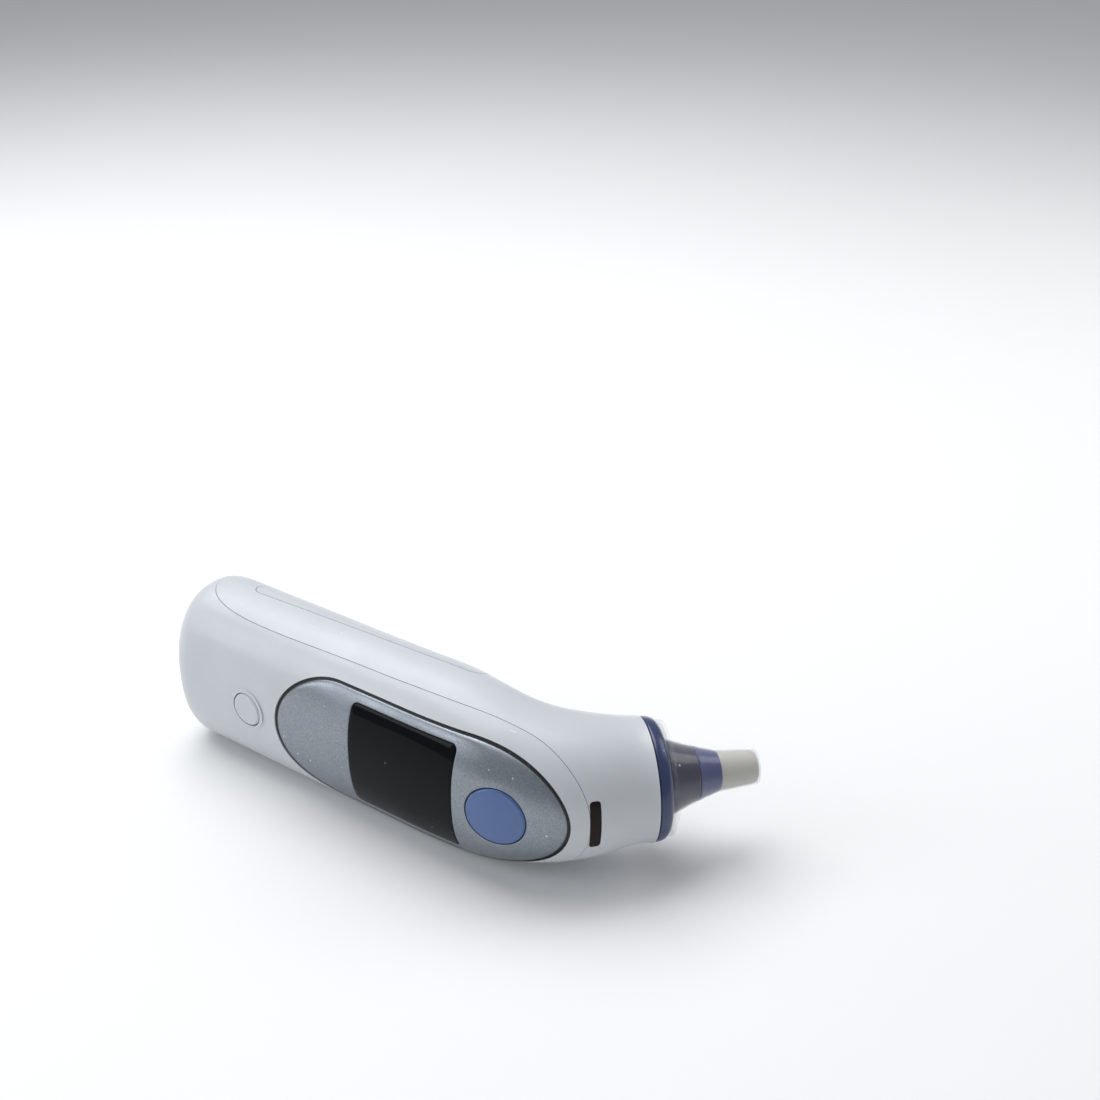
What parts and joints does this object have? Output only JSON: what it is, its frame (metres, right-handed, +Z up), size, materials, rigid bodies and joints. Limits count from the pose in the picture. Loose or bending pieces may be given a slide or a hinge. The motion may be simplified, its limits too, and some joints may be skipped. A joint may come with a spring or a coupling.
{
  "type": "ear thermometer",
  "caption": "Handheld infrared ear thermometer: oval handle with display panel, start and memory buttons, battery door, and an angled head with ejector ring, tapered probe and clear cover.",
  "frame": {"origin": "under the middle of the box around the whole device, on the flat side land it rests on", "axes": "+X along the handle towards the head, +Y from the display side to the back, +Z up, sideways across the device"},
  "size_m": [0.1553, 0.0596, 0.0441],
  "materials": {
    "white": "semi-gloss, moulded",
    "silver": "satin metallic paint over plastic",
    "dark_seal": "matt",
    "window": "polished, dark",
    "blue_button": "satin",
    "lens": "polished, smoked",
    "electronics": "matt packages",
    "circuit_board": "solder-masked laminate",
    "light": "clear package",
    "display_glass": "polished",
    "frame_plastic": "moulded",
    "black_plastic": "moulded",
    "cell": "printed sleeve over steel",
    "spring_steel": "bright",
    "contact": "nickel plated",
    "steel": "bright",
    "blue_ring": "semi-gloss",
    "blue_nose": "semi-gloss",
    "blue_band": "semi-gloss",
    "tip_white": "fine moulded",
    "tip_window": "coated",
    "gold": "polished",
    "aluminium": "turned",
    "flex": "thin film",
    "cover_clear": "thin moulded film"
  },
  "bodies": {
    "body": {"front_shell": "white", "rear_shell": "white", "display_panel": "silver", "panel_gasket": "dark_seal", "display_window": "window", "start_switch": "electronics", "memory_switch": "electronics", "status_lens": "lens", "status_light": "light", "main_board": "circuit_board", "board_chips": "electronics", "lcd_module": "display_glass", "lcd_frame": "frame_plastic", "buzzer": "black_plastic", "battery_tray": "frame_plastic", "battery_left": "cell", "battery_right": "cell", "battery_contacts": "contact", "battery_springs": "spring_steel", "shell_screws": "steel", "nose_carrier": "black_plastic", "nose_gasket": "dark_seal", "nose_screws": "steel", "probe_nose": "blue_nose", "nose_band": "blue_band", "probe_tip": "tip_white", "tip_window": "tip_window", "waveguide_tube": "gold", "sensor_barrel": "aluminium", "sensor_can": "steel", "sensor_board": "circuit_board", "flex_cable": "flex", "ejector_spring": "spring_steel"},
    "start_button": {"start_button": "blue_button", "start_plunger": "electronics"},
    "memory_button": {"memory_button": "white", "memory_plunger": "electronics"},
    "battery_door": {"battery_door": "white"},
    "ejector_ring": {"ejector_ring": "blue_ring"},
    "probe_cover": {"probe_cover": "cover_clear"},
    "cover_detector_pin": {"cover_detector_pin": "white"}
  },
  "joints": [
    {"name": "start_press", "type": "slide", "parent": "body", "child": "start_button", "axis": [0, 1, 0], "range_m": [0, 0.0008], "stiffness_N_per_m": 900, "springref_m": -0.001},
    {"name": "memory_press", "type": "slide", "parent": "body", "child": "memory_button", "axis": [0, 1, 0], "range_m": [0, 0.0006], "stiffness_N_per_m": 900, "springref_m": -0.001},
    {"name": "door_lift", "type": "slide", "parent": "body", "child": "battery_door", "axis": [0, 1, 0], "range_m": [0, 0.03]},
    {"name": "ring_eject", "type": "slide", "parent": "body", "child": "ejector_ring", "axis": [0.6691, 0.7431, 0], "range_m": [0, 0.003], "stiffness_N_per_m": 400, "springref_m": -0.002, "deforming": ["ejector_spring"]},
    {"name": "cover_pull", "type": "slide", "parent": "ejector_ring", "child": "probe_cover", "axis": [0.6691, 0.7431, 0], "range_m": [0, 0.036]},
    {"name": "pin_press", "type": "slide", "parent": "body", "child": "cover_detector_pin", "axis": [-0.6691, -0.7431, 0], "range_m": [0, 0.0004], "stiffness_N_per_m": 300, "springref_m": -0.0005}
  ]
}
